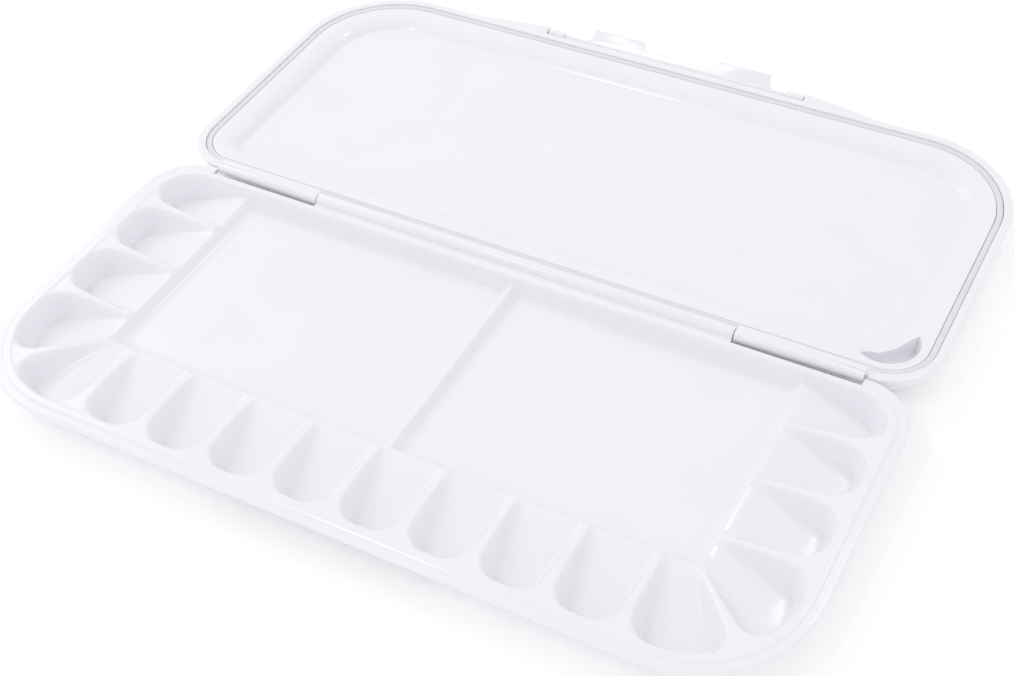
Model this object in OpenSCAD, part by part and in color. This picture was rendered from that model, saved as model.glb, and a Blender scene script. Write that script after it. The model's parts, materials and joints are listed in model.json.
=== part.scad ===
// Folding mixing palette: a tray of paint wells and a lid with a seal, joined by two hinge pins.
// Both halves lie open, rims level. Millimetres, +Z up, the desk is z = 0.

/* [Case] */
// Width of both halves
case_w = 330; // [300:1:380]
// Distance from the hinge axis to the outer edge of each half
half_depth = 146.4; // [130:0.1:176]
// Height of each half from the desk to its rim
half_h = 13; // [12.4:0.1:16]
// Corner radius at the edge away from the hinge
outer_corner_r = 45; // [40:1:50]
// Corner radius beside the hinge
hinge_corner_r = 22; // [21:1:26]
// Thickness of the moulded walls
wall = 1.8; // [1.4:0.1:2]
// How far the outside walls lean in from rim to desk
side_lean = 8.5; // [7.5:0.1:9]

/* [Wells] */
// Wells in the front row, between the two corner wells
front_wells = 8; // [5:1:10]
// Wells down each side, the last one beside the corner well
side_wells = 4; // [3:1:4]
// Distance from one side divider to the next
side_pitch = 28.5; // [22:0.1:30]
// Width of the land between the outer edge and the wells
land_w = 7.2; // [6.8:0.1:8]
// Length of a front well from its crest to the land
front_well_len = 37.4; // [31:0.1:42]
// Length of a side well from its crest to the land
side_well_len = 36.1; // [31:0.1:42]
// Depth of the wells below the rim
well_depth = 11; // [9:0.1:11.1]
// Depth of the crest between the wells and the mixing areas
crest_drop = 3.2; // [2.4:0.1:4]
// Mouth of each corner well, measured along the front crest
corner_mouth = 12.4; // [9:0.1:16]
// Mouth of the last side well, measured along the side crest
side_mouth = 14.2; // [10:0.1:18]
// Thickness of a divider at its top
divider_top = 1.4; // [1:0.1:2]
// Thickness of a divider at the bottom of the wells
divider_foot = 7; // [4:0.1:9]

/* [Mixing areas] */
// Depth of the mixing areas below the rim
mix_depth = 7; // [6:0.1:9]
// Distance of the rib between the mixing areas from the middle
rib_x = 2.4; // [0:0.1:6]
// Thickness of the rib at its top
rib_top = 2.4; // [1.6:0.1:4]
// Depth of the top of the rib below the rim
rib_drop = 3.6; // [3:0.1:5]

/* [Rim and seal] */
// Width of the outer land of the lid
lid_land = 3.4; // [3:0.1:4]
// Width of the groove in the lid
groove_w = 2.9; // [2.4:0.1:3.4]
// Depth of the groove in the lid
groove_deep = 2.4; // [2:0.1:2.8]
// Height of the gasket that lies in the groove
gasket_h = 1.8; // [1.2:0.1:1.8]
// Room between the gasket and each side of the groove
gasket_room = 0.2; // [0.1:0.05:0.4]
// How far the inner land of the tray stands above its outer ledge
land_rise = 0.5; // [0.3:0.1:0.5]
// Gap between the two rims when the palette is shut
seal_gap = 0.2; // [0.1:0.05:0.4]

/* [Lid] */
// Depth of the lid recess below the rim
recess_depth = 4.8; // [4:0.1:6]
// Width of the sloping border of the recess
recess_border = 9.7; // [8:0.1:11]
// Depth of the corner pocket below the rim
pocket_depth = 10.3; // [8:0.1:10.6]
// Radius of the corner pocket
pocket_r = 12.5; // [10:0.1:13]
// Distance from the middle of the pocket circle to its straight side
pocket_chord = 1.6; // [0:0.1:4]

/* [Hinge] */
// Distance from the middle to the inner end of each lid knuckle
knuckle_from = 92.2; // [80:0.1:100]
// Distance from the middle to the outer end of each lid knuckle
knuckle_to = 141.9; // [130:0.1:142]
// Radius of the knuckles
knuckle_r = 2.8; // [2.4:0.1:3]
// Gap between the ends of neighbouring knuckles
knuckle_gap = 0.5; // [0.3:0.1:1]
// Radius of the hinge pins
hinge_pin_r = 1; // [0.8:0.05:1.2]
// Length of hinge pin held in the tray
hinge_pin_grip = 14; // [8:1:24]
// Radial clearance of a pin in the piece that turns on it
turning_clearance = 0.06; // [0.03:0.01:0.1]
// Radial clearance of a pin in the piece that holds it
holding_clearance = 0.02; // [0.01:0.01:0.03]

/* [Clasp] */
// Distance from the middle to the inner face of each ear
ear_x = 62.5; // [54:0.1:72]
// Length of each ear along the edge
ear_len = 34.5; // [26:0.1:40]
// How far each ear stands out from the edge
ear_out = 5.3; // [5:0.1:7]
// Gap between the clasp and each ear
clasp_gap = 0.6; // [0.3:0.1:1]
// Width of each of the two tabs
tab_w = 25; // [18:0.1:28]
// Distance from the middle to the inner side of each tab
tab_x = 18; // [12:0.1:22]
// Radius of the clasp pivot pins
clasp_pin_r = 0.8; // [0.6:0.05:0.9]
// Length of each clasp pivot pin
clasp_pin_len = 10; // [8:0.5:12]

/* [Hidden] */
$fn = 96;

half_w = case_w / 2;
// Small overlap that joins solids and clears cutters
join = 0.05;
// Gap between the hinge axis and the edge of each half
edge_gap = 0.3;
// The rim features run this much further from the hinge along the hinge side
hinge_inset = 0.5;
// Height of the hinge axis above the rims
axis_up = seal_gap / 2;

// Tray, measured from the hinge axis (v) and the middle (x)
crest_v = half_depth - land_w - front_well_len;
crest_x = half_w - land_w - side_well_len;
row_half = crest_x - corner_mouth;
front_pitch = 2 * row_half / front_wells;
// Thickness of the top of the crest, and how far its inner face leans
crest_top = 1.2;
crest_lean = 1.6;
// How far the inside of the outer wall leans in from the land to the bottom of the wells
bowl_lean = 4.4;
// Part of each well's length taken by its sloping floor
slope_share = 0.74;
// The raised land of the tray starts a little inside the outer land of the lid
step_d = lid_land + 0.2;
// Width of the flat foot that stands on the desk
foot_w = 2.4;
// Catch bead under the front flange, where the tabs hook in
bead_drop = 1.8;
bead_from = 1;
bead_to = 4.4;

// Lid
ridge_w = 2.2;
ridge_drop = 0.8;
lip_h = 1.1;
// Bulge of the leaning outside wall of the lid
wall_bulge = 1.1;
groove_from = lid_land;
groove_to = lid_land + groove_w;
ridge_to = groove_to + ridge_w;
recess_d = ridge_to + recess_border;

// Hinge
knuckle_cut_r = knuckle_r + 0.4;
block_top = knuckle_r - 0.5;
block_v = lid_land;
notch_r = norm([block_v, block_top]) + 0.6;
tray_knuckle_half = knuckle_from - knuckle_gap;

// Clasp: its pivot, and the middle line of its bent plate as it hangs open
pivot_v = half_depth + 2.9;
pivot_z = -1.8;
clasp_knuckle_r = 2;
clasp_knuckle_w = 7;
clasp_t = 1.6;
bend = [4.9, -4.6];
bar_tip = [7.7, -1.85];
tab_tip = [10.2, 0.7];
// Heel that bears on the wall of the lid and stops the clasp as it hangs open
heel = [-2.7, -1.6];
ear_deep = 4.4;
clasp_half = ear_x - clasp_gap;

// The hinge sits so that the middle of the open palette is over the origin
clasp_reach = pivot_v + tab_tip[0] + clasp_t / 2;
hinge_y = -(clasp_reach - half_depth) / 2;

// Puts a shape measured from the hinge axis and the rim in place on the lid side
module on_lid_side() { translate([0, hinge_y, half_h]) children(); }

// The same on the tray side, where distance from the hinge runs towards -Y
module on_tray_side() { translate([0, hinge_y, half_h]) mirror([0, 1, 0]) children(); }

// Flat outline of a half, taken in by inset, with its hinge side moved by shift
module outline(inset, shift = 0) {
  xh = half_w - inset;
  near = edge_gap + shift + inset;
  far = half_depth - inset;
  rn = hinge_corner_r - inset;
  rf = outer_corner_r - inset;
  polygon([
    [-xh + rn, near], [xh - rn, near], [xh, near + rn], [xh, far - rf],
    [xh - rf, far], [-xh + rf, far], [-xh, far - rf], [-xh, near + rn]
  ]);
  for (side = [-1, 1]) {
    translate([side * (xh - rn), near + rn]) circle(rn);
    translate([side * (xh - rf), far - rf]) circle(rf);
  }
}

// Carries a section [distance in from the edge, height] along all four sides and corners
module around(shift = 0) {
  near = edge_gap + shift;
  rn = hinge_corner_r;
  rf = outer_corner_r;
  side_len = half_depth - rf - near - rn;
  translate([-half_w + rn, near, 0]) along_x(case_w - 2 * rn) children();
  translate([0, half_depth, 0]) mirror([0, 1, 0]) translate([-half_w + rf, 0, 0])
    along_x(case_w - 2 * rf) children();
  for (side = [0, 1]) mirror([side, 0, 0]) {
    translate([-half_w, half_depth - rf, 0]) rotate([90, 0, 0]) linear_extrude(side_len) children();
    translate([half_w - rn, near + rn, 0]) rotate([0, 0, 270]) corner(rn) children();
    translate([half_w - rf, half_depth - rf, 0]) corner(rf) children();
  }
}

// Extrudes a section [across, up] along +X
module along_x(len) { rotate([90, 0, 90]) linear_extrude(len) children(); }

// Turns a section through a quarter circle, its edge at radius r
module corner(r) { rotate_extrude(angle = 90) translate([r, 0]) mirror([1, 0]) children(); }

// Round bar along X between two distances from the middle, on the hinge axis
module hinge_bar(from, to, r) {
  translate([from, 0, axis_up]) rotate([0, 90, 0]) cylinder(h = to - from, r = r);
}

// ---- Tray ----

// Flange: an outer ledge and the raised inner land
module tray_rim() {
  around() polygon([[0, 0], [0, -wall], [land_w, -wall], [land_w, 0]]);
  around(hinge_inset) polygon([
    [step_d, -join], [step_d, land_rise], [land_w - hinge_inset, land_rise],
    [land_w - hinge_inset, -join]
  ]);
  around() polygon([
    [land_w - hinge_inset - join, -wall], [land_w - hinge_inset - join, land_rise],
    [land_w, land_rise], [land_w, -wall]
  ]);
}

// Leaning outer wall with the foot that stands on the desk
module tray_bowl() {
  foot_d = land_w + bowl_lean - wall;
  around() polygon([
    [land_w - wall, -wall], [land_w - wall / 2, land_rise], [land_w, land_rise],
    [land_w + bowl_lean, -well_depth], [foot_d + foot_w, -half_h], [foot_d, -half_h]
  ]);
}

// Everything outside the leaning wall, under the flange
module outside_bowl() {
  around() polygon([
    [-1, -wall], [land_w - wall, -wall], [land_w + bowl_lean - wall, -half_h],
    [land_w + bowl_lean - wall, -half_h - 1], [-1, -half_h - 1]
  ]);
}

// Section of crest and well floor, outwards from the crest: [distance, height]
function well_section(len) = let (
  deep = slope_share * len,
  under = -well_depth - wall,
  foot = -crest_top - crest_lean
) [
  [foot - 1, -mix_depth], [foot, -mix_depth], [-crest_top, -crest_drop], [0, -crest_drop],
  [deep, -well_depth], [len, -well_depth], [len, under], [deep, under],
  [0.6, -crest_drop - wall - 0.4], [foot + wall, -mix_depth - wall], [foot - 1, -mix_depth - wall]
];

// Plan of the front row, bounded by the two diagonals
module front_region() {
  out = outer_corner_r;
  back = crest_lean + crest_top + 2;
  polygon([
    [-crest_x + back, crest_v - back], [crest_x - back, crest_v - back],
    [crest_x + out, crest_v + out], [-crest_x - out, crest_v + out]
  ]);
}

// Plan of the right side row
module side_region() {
  out = outer_corner_r;
  back = crest_lean + crest_top + 2;
  polygon([
    [crest_x - back, 0], [crest_x + out, 0],
    [crest_x + out, crest_v + out], [crest_x - back, crest_v - back]
  ]);
}

// Crest and sloping floors of all the wells, inside the outer wall
module well_floors() {
  intersection() {
    linear_extrude(half_h * 2, center = true) intersection() {
      front_region();
      outline(land_w - wall / 2);
    }
    translate([-half_w, crest_v, 0]) along_x(case_w) polygon(well_section(front_well_len));
  }
  for (side = [0, 1]) mirror([side, 0, 0]) intersection() {
    linear_extrude(half_h * 2, center = true) intersection() {
      side_region();
      outline(land_w - wall / 2);
    }
    translate([crest_x, half_depth, 0]) rotate([90, 0, 0])
      linear_extrude(half_depth) polygon(well_section(side_well_len));
  }
}

// One divider, along +Y from its crest: rises from the crest to the land
module divider(len) {
  deep = slope_share * len;
  intersection() {
    translate([-divider_foot / 2, 0, 0]) along_x(divider_foot) polygon([
      [-crest_top, -crest_drop], [len, land_rise], [len + wall, land_rise],
      [len + wall, -well_depth - join], [deep, -well_depth - join],
      [0, -crest_drop - join], [-crest_top, -crest_drop - join]
    ]);
    translate([0, len + wall, 0]) rotate([90, 0, 0]) linear_extrude(len + wall + crest_top) polygon([
      [-divider_top / 2, land_rise], [divider_top / 2, land_rise],
      [divider_foot / 2, -well_depth - join], [-divider_foot / 2, -well_depth - join]
    ]);
  }
}

// All the dividers, with a diagonal one at each front corner
module dividers() {
  corner_offset = half_w - outer_corner_r - crest_x + half_depth - outer_corner_r - crest_v;
  diagonal_len = outer_corner_r - land_w + corner_offset / sqrt(2);
  for (k = [0 : front_wells]) translate([-row_half + k * front_pitch, crest_v, 0]) divider(front_well_len);
  for (side = [0, 1]) mirror([side, 0, 0]) {
    for (j = [0 : side_wells - 2])
      translate([crest_x, crest_v - side_mouth - j * side_pitch, 0]) rotate([0, 0, -90])
        divider(side_well_len);
    translate([crest_x, crest_v, 0]) rotate([0, 0, -45]) divider(diagonal_len);
  }
}

// Floor of the two mixing areas and the rib between them
module mixing_areas() {
  reach = crest_top + crest_lean;
  back_v = edge_gap + land_w - wall / 2;
  translate([-crest_x + reach, back_v, -mix_depth - wall])
    cube([2 * (crest_x - reach), crest_v - reach - back_v, wall]);
  intersection() {
    translate([-half_w, 0, -mix_depth - join]) cube([case_w, crest_v - crest_top, half_h]);
    translate([rib_x, crest_v, 0]) rotate([90, 0, 0]) linear_extrude(crest_v - back_v) polygon([
      [-rib_top / 2, -rib_drop], [rib_top / 2, -rib_drop],
      [rib_top / 2 + crest_lean, -mix_depth - join], [-rib_top / 2 - crest_lean, -mix_depth - join]
    ]);
  }
}

// Bead under the front flange that the clasp tabs hook behind
module catch_bead() {
  bead_half = tab_x + tab_w + 2;
  translate([-bead_half, half_depth, 0]) mirror([0, 1, 0]) along_x(2 * bead_half) polygon([
    [bead_from, -wall + join], [bead_from + 1.4, -wall - bead_drop],
    [bead_to, -wall - bead_drop], [bead_to, -wall + join]
  ]);
}

// Plastic tray with its wells, mixing areas and middle knuckle
module tray() {
  color("white") on_tray_side() difference() {
    union() {
      tray_rim();
      difference() {
        union() {
          tray_bowl();
          well_floors();
          dividers();
          mixing_areas();
        }
        outside_bowl();
      }
      catch_bead();
      translate([-tray_knuckle_half, 0, -wall]) cube([2 * tray_knuckle_half, lid_land, wall]);
      hinge_bar(-tray_knuckle_half, tray_knuckle_half, knuckle_r);
    }
    for (side = [0, 1]) mirror([side, 0, 0]) {
      hinge_bar(tray_knuckle_half, knuckle_to + knuckle_gap, notch_r);
      hinge_bar(tray_knuckle_half - hinge_pin_grip, tray_knuckle_half + join, hinge_pin_r + holding_clearance);
    }
  }
}

// ---- Lid ----

// Points on the bulging outside wall of the lid, from the lip down to the desk
function lid_wall_points(steps) = let (
  top = [0, -lip_h],
  foot = [side_lean, -half_h],
  across = foot - top,
  out = [across[1], -across[0]] / norm(across)
) [for (i = [0 : steps]) let (t = i / steps) top + t * across + 4 * t * (1 - t) * wall_bulge * out];

// Section of the rim, the outside wall and the border of the recess
module lid_section() {
  under = -recess_depth - wall;
  groove_under = -groove_deep - wall;
  step = (groove_from + groove_to) / 2;
  polygon(concat(
    [[0, 0]],
    lid_wall_points(5),
    [
      [side_lean + foot_w, -half_h], [side_lean - 0.4, -half_h + foot_w],
      [side_lean / 2 + wall / 2, groove_under], [ridge_to, groove_under],
      [recess_d, under], [recess_d + join, under], [recess_d + join, -recess_depth],
      [recess_d, -recess_depth], [ridge_to, -ridge_drop], [step, -ridge_drop], [step, 0]
    ]
  ));
}

// Plan of the pocket: a disc in the right recess corner beside the hinge, cut by a straight side
module pocket_plan(grow) {
  translate([half_w - hinge_corner_r, edge_gap + hinge_corner_r]) intersection() {
    circle(pocket_r + grow);
    rotate(-45) translate([pocket_chord - grow, -half_w]) square([half_w, case_w]);
  }
}

// Ears beside the clasp, which carry its pivot pins
module ears() {
  for (side = [0, 1]) mirror([side, 0, 0]) translate([0, half_depth, -ear_deep])
    linear_extrude(ear_deep) polygon([
      [ear_x, -wall], [ear_x, ear_out], [ear_x + 4, ear_out - 0.5],
      [ear_x + ear_len, -join], [ear_x + ear_len, -wall]
    ]);
}

// Knuckles of the lid, each with a raised block behind it
module lid_knuckles() {
  for (side = [0, 1]) mirror([side, 0, 0]) {
    hinge_bar(knuckle_from, knuckle_to, knuckle_r);
    translate([knuckle_from, 0, 0]) along_x(knuckle_to - knuckle_from) polygon([
      [0, axis_up + knuckle_r], [1.2, axis_up + knuckle_r - 0.2], [block_v, block_top],
      [block_v, -wall], [0, -wall]
    ]);
  }
}

// Plastic lid with its recess, corner pocket, seal groove, knuckles and ears
module lid() {
  color("white") on_lid_side() difference() {
    union() {
      around() lid_section();
      translate([0, 0, -recess_depth - wall]) linear_extrude(wall) outline(recess_d);
      intersection() {
        translate([0, 0, -pocket_depth - wall]) linear_extrude(pocket_depth) pocket_plan(wall);
        linear_extrude(half_h * 2, center = true) outline(side_lean - 1);
      }
      ears();
      lid_knuckles();
    }
    around(hinge_inset) polygon([
      [groove_from, 1], [groove_from, -groove_deep], [groove_to, -groove_deep], [groove_to, 1]
    ]);
    translate([0, 0, -pocket_depth]) linear_extrude(half_h) pocket_plan(0);
    hinge_bar(-knuckle_from, knuckle_from, knuckle_cut_r);
    for (side = [0, 1]) mirror([side, 0, 0]) {
      hinge_bar(knuckle_from - join, knuckle_to + join, hinge_pin_r + turning_clearance);
      translate([ear_x - join, pivot_v, pivot_z]) rotate([0, 90, 0])
        cylinder(h = clasp_pin_len / 2, r = clasp_pin_r + holding_clearance);
    }
  }
}

// Silicone gasket lying in the groove of the lid
module gasket() {
  color("lightgrey") on_lid_side() around(hinge_inset) polygon([
    [groove_from + gasket_room, -groove_deep], [groove_to - gasket_room, -groove_deep],
    [groove_to - gasket_room, gasket_h - groove_deep], [groove_from + gasket_room, gasket_h - groove_deep]
  ]);
}

// ---- Clasp ----

// Round-ended strip between two points
module strip(a, b, t) {
  across = (b - a) / norm(b - a) * t / 2;
  side = [-across[1], across[0]];
  polygon([a + side, a - side, b - side, b + side]);
  translate(a) circle(t / 2);
  translate(b) circle(t / 2);
}

// Clasp section carried along X between two distances from the middle
module clasp_run(from, to) {
  translate([from, pivot_v, pivot_z]) along_x(to - from) children();
}

// Clasp that hangs from the ears, with two tabs that hook under the tray flange
module clasp() {
  arm_half = clasp_half - clasp_knuckle_w;
  plate_half = tab_x + tab_w;
  color("white") on_lid_side() difference() {
    union() {
      clasp_run(-arm_half - join, arm_half + join) strip([0, 0], bend, clasp_t);
      clasp_run(-arm_half, arm_half) strip([0, 0], heel, clasp_t);
      clasp_run(-plate_half, plate_half) strip(bend, bar_tip, clasp_t);
      for (side = [0, 1]) mirror([side, 0, 0]) {
        clasp_run(tab_x, tab_x + tab_w) strip(bend, tab_tip, clasp_t);
        clasp_run(arm_half, clasp_half) circle(clasp_knuckle_r);
      }
    }
    for (side = [0, 1]) mirror([side, 0, 0])
      clasp_run(clasp_half - clasp_pin_len / 2, clasp_half + join) circle(clasp_pin_r + turning_clearance);
  }
}

// ---- Pins ----

// Steel hinge pin, from its grip in the tray to the outer end of the lid knuckle
module hinge_pin() {
  slack = 0.3;
  color("silver") on_lid_side()
    hinge_bar(tray_knuckle_half - hinge_pin_grip + slack, knuckle_to - slack, hinge_pin_r);
}

// Steel clasp pin, half in the ear and half in the clasp
module clasp_pin() {
  slack = 0.3;
  color("silver") on_lid_side()
    clasp_run(ear_x - clasp_gap - clasp_pin_len / 2 + slack, ear_x + clasp_pin_len / 2 - slack)
      circle(clasp_pin_r);
}

module hinge_pin_right() { hinge_pin(); }
module hinge_pin_left() { mirror([1, 0, 0]) hinge_pin(); }
module clasp_pin_right() { clasp_pin(); }
module clasp_pin_left() { mirror([1, 0, 0]) clasp_pin(); }

tray();
lid();
gasket();
clasp();
hinge_pin_left();
hinge_pin_right();
clasp_pin_left();
clasp_pin_right();
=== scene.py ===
"""The looks of a folding mixing palette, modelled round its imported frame.

Shapes are worked out in millimetres in the palette's own terms, then placed in the frame:
x runs along the hinge, v is the distance from the hinge axis, and z is the height over the rims.
"""
import json
import math

import bpy
import numpy as np
from mathutils import Matrix, Vector


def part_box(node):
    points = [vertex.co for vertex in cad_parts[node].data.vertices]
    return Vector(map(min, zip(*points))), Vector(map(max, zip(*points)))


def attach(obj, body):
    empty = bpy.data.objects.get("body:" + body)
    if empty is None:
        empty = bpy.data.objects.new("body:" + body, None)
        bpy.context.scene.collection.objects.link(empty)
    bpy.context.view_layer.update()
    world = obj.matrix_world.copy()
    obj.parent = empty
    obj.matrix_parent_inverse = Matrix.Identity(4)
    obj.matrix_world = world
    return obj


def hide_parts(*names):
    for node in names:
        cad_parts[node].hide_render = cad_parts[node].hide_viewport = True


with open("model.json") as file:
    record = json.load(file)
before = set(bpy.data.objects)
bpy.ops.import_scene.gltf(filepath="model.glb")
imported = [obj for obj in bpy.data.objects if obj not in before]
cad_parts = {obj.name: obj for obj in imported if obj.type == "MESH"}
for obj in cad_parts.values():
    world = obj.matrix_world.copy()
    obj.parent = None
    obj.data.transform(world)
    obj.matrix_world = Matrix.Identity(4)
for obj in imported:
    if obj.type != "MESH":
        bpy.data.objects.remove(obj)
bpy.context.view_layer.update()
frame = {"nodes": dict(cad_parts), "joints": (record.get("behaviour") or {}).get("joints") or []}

# ---------------------------------------------------------------- sizes, in millimetres

MM = 0.001


def joint_place(name):
    """Position of a joint's axis in the frame."""
    joint = next(joint for joint in frame["joints"] if joint["name"] == name)
    return np.array(joint["pos_m"]) / MM


tray_low, tray_high = (np.array(corner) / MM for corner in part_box("tray"))
clasp_high = np.array(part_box("clasp")[1]) / MM
hinge = joint_place("lid_hinge")
pivot = joint_place("clasp_pivot")

AXIS_UP = 0.1
HINGE_Y = hinge[1]
RIM_Z = hinge[2] - AXIS_UP
AXIS_Z = hinge[2]
HALF_W = tray_high[0]
HALF_DEPTH = HINGE_Y - tray_low[1]

# The case outline
OUTER_R = 45.0
HINGE_R = 22.0
EDGE_GAP = 0.3
HINGE_SHIFT = 0.5
WALL = 1.8
MID_V = (EDGE_GAP + HALF_DEPTH) / 2
HALF_V = (HALF_DEPTH - EDGE_GAP) / 2

# Tray
LAND_W = 7.2
LAND_RISE = 0.5
WELL_DEPTH = 11.0
MIX_DEPTH = 7.0
FRONT_LEN = 36.2
SIDE_LEN = 34.6
CREST_V = HALF_DEPTH - LAND_W - FRONT_LEN
CREST_X = HALF_W - LAND_W - SIDE_LEN
CREST_DROP = 3.2
CREST_TOP = 0.6
CREST_SLOPE = 0.95
CORNER_MOUTH = 13.9
SIDE_MOUTH = 15.4
SIDE_PITCH = 28.5
FRONT_WELLS = 8
ROW_HALF = CREST_X - CORNER_MOUTH
FRONT_PITCH = 2 * ROW_HALF / FRONT_WELLS
DIVIDERS_X = [-ROW_HALF + k * FRONT_PITCH for k in range(FRONT_WELLS + 1)]
DIVIDERS_V = [CREST_V - SIDE_MOUTH - j * SIDE_PITCH for j in range(3)]
SLOPE_SHARE = 0.74
DIVIDER_HALF = 0.7
DIVIDER_SLOPE = 2.8
DIVIDER_LOW = 2.6
DIVIDER_HIGH = -0.9
END_SLOPE = 4.6
BACK_SLOPE = 2.3
END_CORNER = 10.0
DIVIDER_FLARE = 1.9
RIB_X = 2.4
RIB_HALF = 0.9
RIB_SLOPE = 1.25
RIB_DROP = 3.5
TRAY_KNUCKLE = 91.7
NOTCH_R = 4.7

# Lid
LID_LAND = 3.4
GROOVE_TO = 6.3
GROOVE_DEEP = 2.4
GASKET_H = 1.8
GASKET_ROOM = 0.2
RIDGE_TO = 8.5
RIDGE_DROP = 0.8
RECESS_D = 18.2
RECESS_DEPTH = 4.8
BORDER_CROWN = 2.2
SIDE_LEAN = 8.5
LIP_H = 1.1
POCKET_DEPTH = 10.3
POCKET_R = 12.5
POCKET_CHORD = 1.6

# Hinge and clasp
KNUCKLE_FROM = 92.2
KNUCKLE_TO = 141.9
KNUCKLE_R = 2.8
KNUCKLE_TAPER = 0.68
PIN_BORE_R = 1.06
PIN_HOLD_R = 1.02
PIN_GRIP = 14.0
PIVOT_V = pivot[1] - HINGE_Y
PIVOT_Z = pivot[2] - RIM_Z
EAR_X = 62.5
EAR_LEN = 34.5
EAR_OUT = 5.3
EAR_DEEP = 4.4
CLASP_HALF = clasp_high[0]
CLASP_KNUCKLE_W = 7.0
CLASP_T = 1.6
TAB_X = 18.0
TAB_W = 25.0


# ---------------------------------------------------------------- blending formulas


def soft_max(a, b, k):
    """The higher of two heights, with a fillet where they are less than k apart."""
    near = np.maximum(k - np.abs(a - b), 0) / k
    return np.maximum(a, b) + near * near * k / 4


def soft_min(a, b, k):
    """The lower of two heights, rounded over the same way."""
    return -soft_max(-a, -b, k)


def ease(u, r):
    """Nothing below -r, u above r, and a parabola between."""
    return np.where(u < -r, 0.0, np.where(u > r, u, (u + r) ** 2 / (4 * r)))


def edge_inset(x, v):
    """Distance in from the outline of a half."""
    r = np.where(v > MID_V, OUTER_R, HINGE_R)
    across = np.abs(x) - (HALF_W - r)
    along = np.abs(v - MID_V) - (HALF_V - r)
    outside = np.hypot(np.maximum(across, 0), np.maximum(along, 0))
    return r - outside - np.minimum(np.maximum(across, along), 0)


# ---------------------------------------------------------------- heights of the tray


def well_share(x, v):
    """How far a point lies from the crest to the land: 0 on the crest, 1 on the land."""
    side = np.abs(x) - CREST_X
    front = v - CREST_V
    out = np.hypot(np.maximum(side, 0), np.maximum(front, 0))
    to_land = np.maximum(edge_inset(x, v) - LAND_W, 0)
    far = out / np.maximum(out + to_land, 1e-6)
    share = np.where(v > HALF_DEPTH - OUTER_R, far, side / SIDE_LEN)
    inward = np.maximum(side, front)
    return np.where(inward < 0, inward / FRONT_LEN, np.clip(share, 0, 1))


def well_floor(share):
    """Floor of the wells: it slopes down from the crest and then runs level."""
    slope = (WELL_DEPTH - CREST_DROP) / SLOPE_SHARE
    return soft_max(-WELL_DEPTH, -CREST_DROP - slope * share, 2.5)


def round_corner(a, b, r):
    """The lesser of two distances, with a round corner where both are under r."""
    inner = r - np.hypot(np.maximum(r - a, 0), np.maximum(r - b, 0))
    return np.where(np.maximum(a, b) > r, np.minimum(a, b), inner)


def divider_distances(x, v, share):
    """Distances from the sides of the front, side and slanting dividers, which flare outwards."""
    half = DIVIDER_HALF + DIVIDER_FLARE * np.clip(share, 0, 1) ** 2
    nearest = np.clip(np.round((x + ROW_HALF) / FRONT_PITCH), 0, FRONT_WELLS)
    front = np.abs(x - (nearest * FRONT_PITCH - ROW_HALF)) - half
    nearest = np.clip(np.round((DIVIDERS_V[0] - v) / SIDE_PITCH), 0, len(DIVIDERS_V) - 1)
    side = np.abs(v - (DIVIDERS_V[0] - nearest * SIDE_PITCH)) - half
    slanted = np.abs((np.abs(x) - CREST_X) - (v - CREST_V)) / math.sqrt(2) - half
    return front, side, slanted


def divider_walls(x, v, share, top):
    """Sides of the dividers, each falling from its own top."""
    front, side, slanted = divider_distances(x, v, share)
    walls = soft_max(top - DIVIDER_SLOPE * front, top - DIVIDER_SLOPE * side, 4)
    return soft_max(walls, top - DIVIDER_SLOPE * slanted, 4)


def end_walls(x, v, share, top):
    """Ends of the wells, which turn into the dividers' sides on round corners."""
    front, side, slanted = divider_distances(x, v, share)
    front = np.where(v > CREST_V, front, 99.0)
    side = np.where(np.abs(x) > CREST_X, side, 99.0)
    beside = np.maximum(np.minimum(np.minimum(front, side), slanted), 0)
    from_land = edge_inset(x, v) - LAND_W
    turned = round_corner(beside, np.maximum(from_land, 0), END_CORNER)
    near_land = np.clip(1 - from_land / END_CORNER, 0, 1)
    corner = top + (LAND_RISE - top) * near_land ** 2 - DIVIDER_SLOPE * turned
    # The back of the mixing areas leans more than the ends of the wells
    beyond = np.clip((np.abs(x) - CREST_X + 1.0) / 4.0, 0, 1)
    slope = BACK_SLOPE + (END_SLOPE - BACK_SLOPE) * beyond * beyond * (3 - 2 * beyond)
    return np.where(share > 0, corner, -99.0), LAND_RISE - slope * from_land


def mixing_floor(x, v, rib=True):
    """Floor of the mixing areas with the inside of the crest round it, and the rib between."""
    side = -CREST_DROP + CREST_SLOPE * (np.abs(x) - CREST_X + CREST_TOP)
    front = -CREST_DROP + CREST_SLOPE * (v - CREST_V + CREST_TOP)
    floor = soft_max(-MIX_DEPTH, soft_max(side, front, 3), 1.6)
    if rib:
        falling = ease(RIB_SLOPE * (np.abs(x - RIB_X) - RIB_HALF), 0.7)
        floor = soft_max(floor, -RIB_DROP - falling, 1.2)
    return floor


def tray_height(x, v):
    """Upper face of the tray."""
    share = well_share(x, v)
    top = -DIVIDER_LOW + (DIVIDER_LOW - DIVIDER_HIGH) * np.clip(share, 0, 1)
    corners, ends = end_walls(x, v, share, top)
    wells = soft_max(well_floor(share), divider_walls(x, v, share, top), 7)
    wells = soft_max(wells, corners, 2.0)
    wells = top - ease(top - wells, 2.2)
    inner = soft_min(wells, mixing_floor(x, v), 0.8)
    whole = soft_max(inner, ends, 3)
    return LAND_RISE - ease(LAND_RISE - whole, 2.2)


def tray_under(x, v):
    """Lower face of the tray, inside its foot."""
    floor = soft_min(well_floor(well_share(x, v)), mixing_floor(x, v, rib=False), 1.0)
    return floor - WALL


# ---------------------------------------------------------------- points round the outline


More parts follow.
